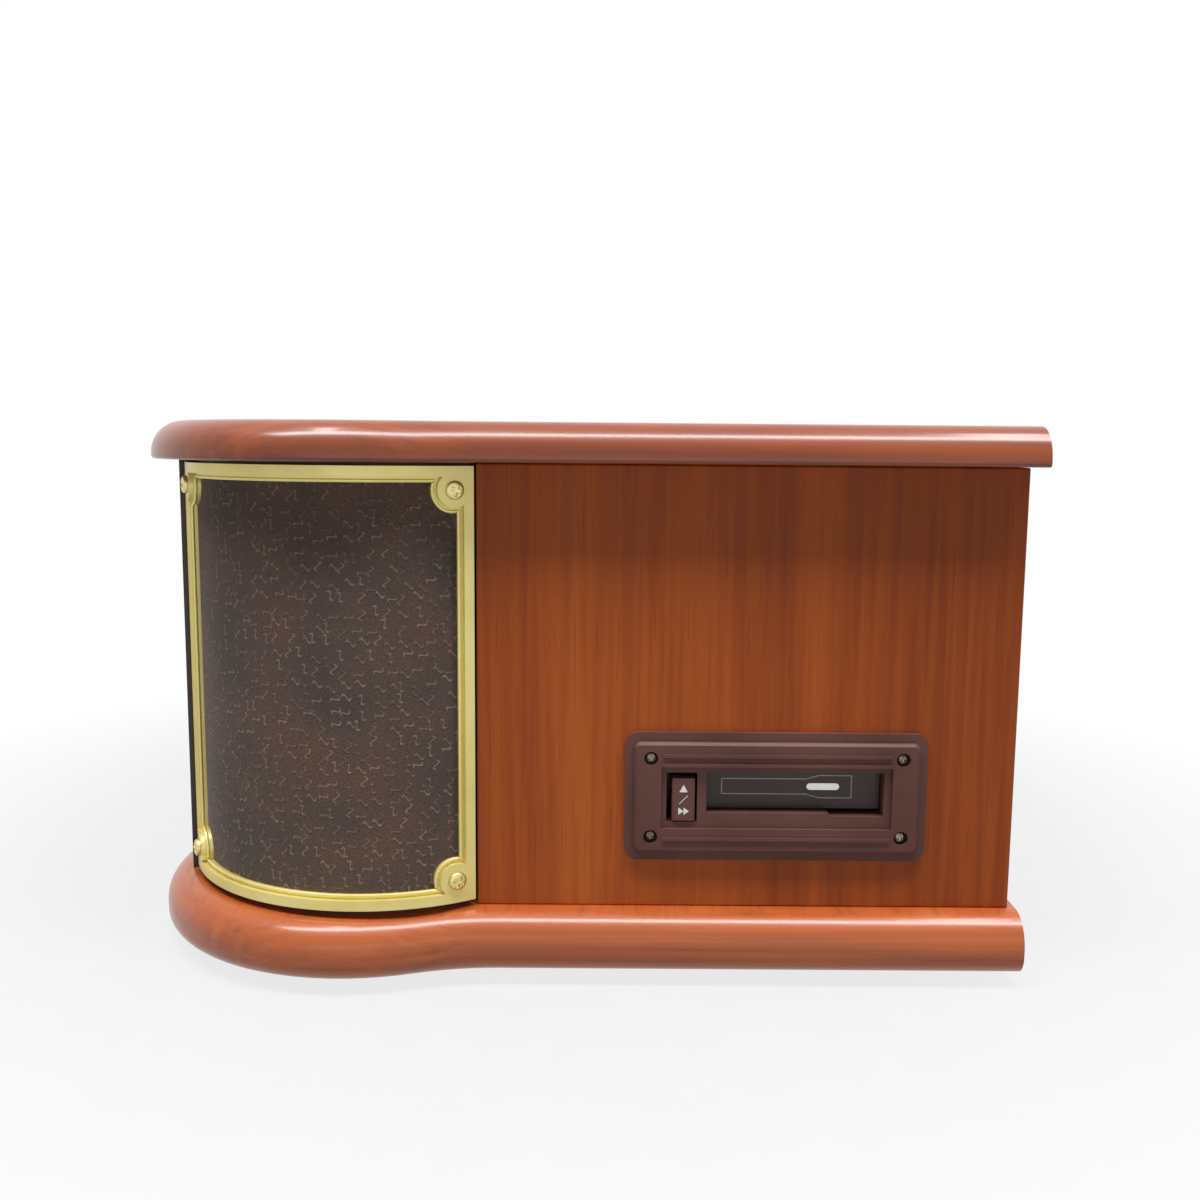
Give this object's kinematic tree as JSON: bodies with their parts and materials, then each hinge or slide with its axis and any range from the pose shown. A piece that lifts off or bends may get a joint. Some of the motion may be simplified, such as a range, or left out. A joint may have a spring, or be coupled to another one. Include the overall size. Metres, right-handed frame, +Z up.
{
  "type": "record player",
  "caption": "Wooden cabinet record player with a hinged lid, curved corner speakers in brass frames, a radio dial and a side cassette slot.",
  "frame": {"origin": "on the table, under the middle of the cabinet's outline", "axes": "+X to the user's right, towards the side with the cassette slot; +Y to the back; +Z up"},
  "size_m": [0.47, 0.346, 0.2133],
  "materials": {
    "lacquered_wood": "glossy red-brown lacquer",
    "side_veneer": "satin orange-brown veneer with upright grain",
    "dark_stain": "dark brown stain",
    "back_board": "matt brown board",
    "deck_paint": "matt black paint",
    "raw_wood": "bare pine",
    "foot_rubber": "matt black rubber",
    "brass": "satin brass",
    "platter_metal": "turned aluminium",
    "steel": "bright steel",
    "arm_metal": "polished aluminium",
    "black_plastic": "fine-grained black plastic",
    "bezel_plastic": "plum-brown plastic",
    "flap_plastic": "near-black plastic",
    "dial_lens": "clear lens",
    "dial_paint": "cream dial paint",
    "pointer_red": "red paint",
    "cord": "woven cord",
    "knob_plastic": "dark brown plastic with a light mark",
    "grille_cloth": "dark brown cloth with a lighter squiggle pattern",
    "driver": "black paper and metal",
    "circuit_board": "green board"
  },
  "bodies": {
    "cabinet": {"arm_rest": "black_plastic", "back_panel": "back_board", "base_plinth": "lacquered_wood", "bezel_screws": "steel", "cassette_bezel": "bezel_plastic", "cassette_chassis": "steel", "deck_rails": "raw_wood", "dial_bezel": "brass", "dial_cord": "cord", "dial_lens": "dial_lens", "dial_plate": "dial_paint", "drive_belt": "foot_rubber", "drive_motor": "steel", "front_panel": "side_veneer", "grille_screws": "brass", "hinge_cabinet_leaves": "brass", "hinge_pins": "brass", "left_corner_column": "dark_stain", "left_grille_cloth": "grille_cloth", "left_grille_frame": "brass", "left_side_panel": "side_veneer", "main_board": "circuit_board", "mains_inlet": "black_plastic", "motor_board": "deck_paint", "panel_controls": "black_plastic", "power_transformer": "steel", "right_corner_column": "dark_stain", "right_grille_cloth": "grille_cloth", "right_grille_frame": "brass", "right_side_panel": "side_veneer", "rubber_feet": "foot_rubber", "speaker_boards": "raw_wood", "speaker_drivers": "driver", "spindle_bush": "brass", "tonearm_base": "black_plastic"},
    "lid": {"lid_board": "lacquered_wood", "hinge_lid_leaves": "brass"},
    "platter": {"platter": "platter_metal", "platter_mat": "foot_rubber", "spindle": "steel"},
    "motor_pulley": {"motor_pulley": "brass"},
    "tonearm_swing": {"tonearm_yoke": "arm_metal"},
    "tonearm": {"tonearm_tube": "arm_metal", "headshell": "black_plastic", "counterweight": "arm_metal"},
    "cue_lever": {"cue_lever": "black_plastic"},
    "lift_bar": {"lift_bar": "black_plastic"},
    "speed_lever": {"speed_lever": "black_plastic"},
    "record_adapter": {"record_adapter": "black_plastic"},
    "dial_pointer": {"dial_pointer": "pointer_red"},
    "dial_drum": {"dial_drum": "steel"},
    "tuning": {"tuning_knob": "knob_plastic", "tuning_shaft": "steel"},
    "volume_knob": {"volume_knob": "knob_plastic"},
    "function_knob": {"function_knob": "knob_plastic"},
    "cassette_flap": {"cassette_flap": "flap_plastic"},
    "eject_key": {"eject_key": "bezel_plastic"},
    "supply_spindle": {"supply_spindle": "black_plastic"},
    "takeup_spindle": {"takeup_spindle": "black_plastic"},
    "capstan_flywheel": {"capstan_flywheel": "platter_metal"}
  },
  "joints": [
    {"name": "lid_hinge", "type": "hinge", "parent": "cabinet", "child": "lid", "pos_m": [0, 0.171, 0.19815], "axis": [-1, 0, 0], "range_deg": [0, 75]},
    {"name": "platter_spin", "type": "hinge", "parent": "cabinet", "child": "platter", "pos_m": [-0.046, 0.01, 0.165], "axis": [0, 0, -1], "continuous": true},
    {"name": "pulley_spin", "type": "hinge", "parent": "cabinet", "child": "motor_pulley", "pos_m": [-0.09655, 0.07709, 0.158], "axis": [0, 0, -1], "continuous": true},
    {"name": "tonearm_swing", "type": "hinge", "parent": "cabinet", "child": "tonearm_swing", "pos_m": [0.136, 0.112, 0.165], "axis": [0, 0, -1], "range_deg": [0, 46]},
    {"name": "tonearm_lift", "type": "hinge", "parent": "tonearm_swing", "child": "tonearm", "pos_m": [0.136, 0.112, 0.1813], "axis": [-1, 0, 0], "range_deg": [0, 2.6]},
    {"name": "cue_lever_turn", "type": "hinge", "parent": "cabinet", "child": "cue_lever", "pos_m": [0.1653, 0.104, 0.161], "axis": [-1, 0, 0], "range_deg": [0, 50]},
    {"name": "lift_bar_rise", "type": "slide", "parent": "cabinet", "child": "lift_bar", "axis": [0, 0, 1], "range_m": [0, 0.00175]},
    {"name": "speed_slide", "type": "slide", "parent": "cabinet", "child": "speed_lever", "axis": [0, 1, 0], "range_m": [-0.008, 0.008]},
    {"name": "adapter_lift", "type": "slide", "parent": "cabinet", "child": "record_adapter", "axis": [0, 0, 1], "range_m": [0, 0.03]},
    {"name": "tuning_turn", "type": "hinge", "parent": "cabinet", "child": "tuning", "pos_m": [0.095, -0.156, 0.06], "axis": [0, 1, 0], "range_deg": [-512, 512]},
    {"name": "pointer_slide", "type": "slide", "parent": "cabinet", "child": "dial_pointer", "axis": [1, 0, 0], "range_m": [-0.059, 0.059]},
    {"name": "drum_turn", "type": "hinge", "parent": "cabinet", "child": "dial_drum", "pos_m": [0, -0.126, 0.069], "axis": [0, 1, 0], "range_deg": [-88, 88]},
    {"name": "volume_turn", "type": "hinge", "parent": "cabinet", "child": "volume_knob", "pos_m": [-0.095, -0.156, 0.06], "axis": [0, 1, 0], "range_deg": [-150, 150]},
    {"name": "function_turn", "type": "hinge", "parent": "cabinet", "child": "function_knob", "pos_m": [0, -0.156, 0.06], "axis": [0, 1, 0], "range_deg": [-60, 60]},
    {"name": "flap_swing", "type": "hinge", "parent": "cabinet", "child": "cassette_flap", "pos_m": [0.2085, 0.0857, 0.0806], "axis": [0, 1, 0], "range_deg": [0, 85], "stiffness_Nm_per_rad": 0.002, "springref_deg": -11.46},
    {"name": "eject_press", "type": "slide", "parent": "cabinet", "child": "eject_key", "axis": [-1, 0, 0], "range_m": [0, 0.006], "stiffness_N_per_m": 200, "springref_m": -0.003},
    {"name": "capstan_spin", "type": "hinge", "parent": "cabinet", "child": "capstan_flywheel", "pos_m": [0.136, 0.1042, 0.058], "axis": [0, 0, 1], "continuous": true},
    {"name": "supply_spin", "type": "hinge", "parent": "cabinet", "child": "supply_spindle", "pos_m": [0.11475, 0.0817, 0.058], "axis": [0, 0, 1], "continuous": true},
    {"name": "takeup_spin", "type": "hinge", "parent": "cabinet", "child": "takeup_spindle", "pos_m": [0.15725, 0.0817, 0.058], "axis": [0, 0, 1], "continuous": true}
  ],
  "couplings": [
    {"joint": "pulley_spin", "follows": "platter_spin", "ratio": 10.735},
    {"joint": "tonearm_lift", "follows": "lift_bar_rise", "rad_per_m": 23.94},
    {"joint": "cue_lever_turn", "follows": "lift_bar_rise", "rad_per_m": 458.8},
    {"joint": "pointer_slide", "follows": "tuning_turn", "m_per_rad": 0.0066},
    {"joint": "drum_turn", "follows": "tuning_turn", "ratio": 0.17098},
    {"joint": "supply_spin", "follows": "capstan_spin", "ratio": 0.12},
    {"joint": "takeup_spin", "follows": "capstan_spin", "ratio": 0.12}
  ]
}
